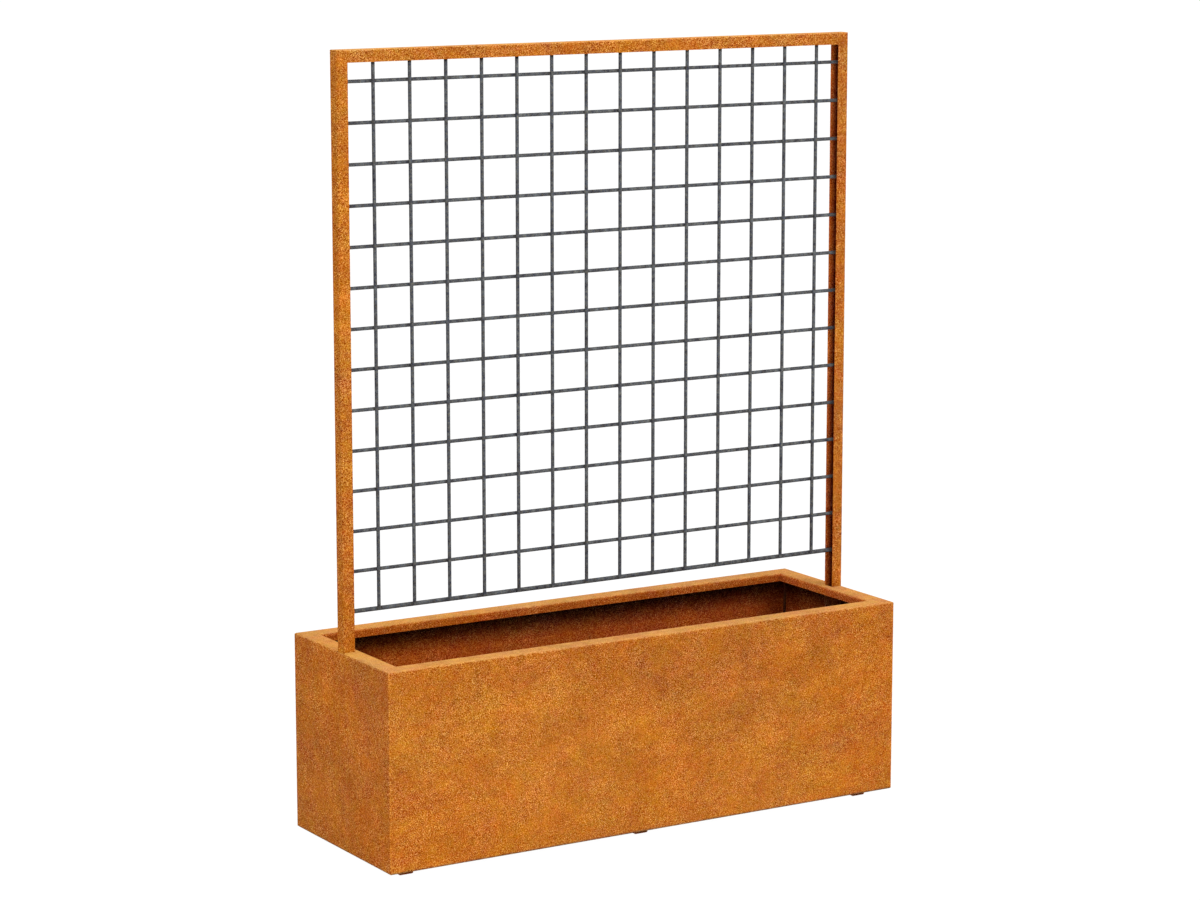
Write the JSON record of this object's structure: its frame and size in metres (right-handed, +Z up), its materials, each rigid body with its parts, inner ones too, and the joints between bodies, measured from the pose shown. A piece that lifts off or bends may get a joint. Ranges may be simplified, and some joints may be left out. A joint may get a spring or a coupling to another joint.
{
  "type": "planter with trellis",
  "caption": "Long rectangular planter box of folded rust-patinated steel with an inward rim and low foot rails, and a lift-out steel trellis frame with a welded rod mesh.",
  "frame": {"origin": "on the ground under the middle of the box, at the foot rails' lower faces", "axes": "+X along the long side to the right, +Y from the front to the back, +Z up"},
  "size_m": [1.504, 0.504, 2.002],
  "materials": {
    "weathered_sheet": "matt orange-brown rust patina with fine speckle and soft cloudy mottling",
    "weathered_frame": "matt orange-brown rust patina with fine speckle",
    "inner_sheet": "darker red-brown rust patina, matt",
    "mill_scale_rod": "dark grey mill scale, slightly mottled, satin"
  },
  "bodies": {
    "planter": {"front_panel": "weathered_sheet", "back_panel": "weathered_sheet", "left_end_panel": "weathered_sheet", "right_end_panel": "weathered_sheet", "bottom_plate": "inner_sheet", "left_foot_rail": "inner_sheet", "middle_foot_rail": "inner_sheet", "right_foot_rail": "inner_sheet", "left_post_keeper": "inner_sheet", "right_post_keeper": "inner_sheet"},
    "trellis": {"left_post": "weathered_frame", "right_post": "weathered_frame", "top_bar": "weathered_frame", "upright_rod_01": "mill_scale_rod", "upright_rod_02": "mill_scale_rod", "upright_rod_03": "mill_scale_rod", "upright_rod_04": "mill_scale_rod", "upright_rod_05": "mill_scale_rod", "upright_rod_06": "mill_scale_rod", "upright_rod_07": "mill_scale_rod", "upright_rod_08": "mill_scale_rod", "upright_rod_09": "mill_scale_rod", "upright_rod_10": "mill_scale_rod", "upright_rod_11": "mill_scale_rod", "upright_rod_12": "mill_scale_rod", "upright_rod_13": "mill_scale_rod", "upright_rod_14": "mill_scale_rod", "level_rod_01": "mill_scale_rod", "level_rod_02": "mill_scale_rod", "level_rod_03": "mill_scale_rod", "level_rod_04": "mill_scale_rod", "level_rod_05": "mill_scale_rod", "level_rod_06": "mill_scale_rod", "level_rod_07": "mill_scale_rod", "level_rod_08": "mill_scale_rod", "level_rod_09": "mill_scale_rod", "level_rod_10": "mill_scale_rod", "level_rod_11": "mill_scale_rod", "level_rod_12": "mill_scale_rod", "level_rod_13": "mill_scale_rod", "bottom_rod": "mill_scale_rod"}
  },
  "joints": [
    {"name": "trellis_lift", "type": "slide", "parent": "planter", "child": "trellis", "axis": [0, 0, 1], "range_m": [0, 0.52]}
  ]
}
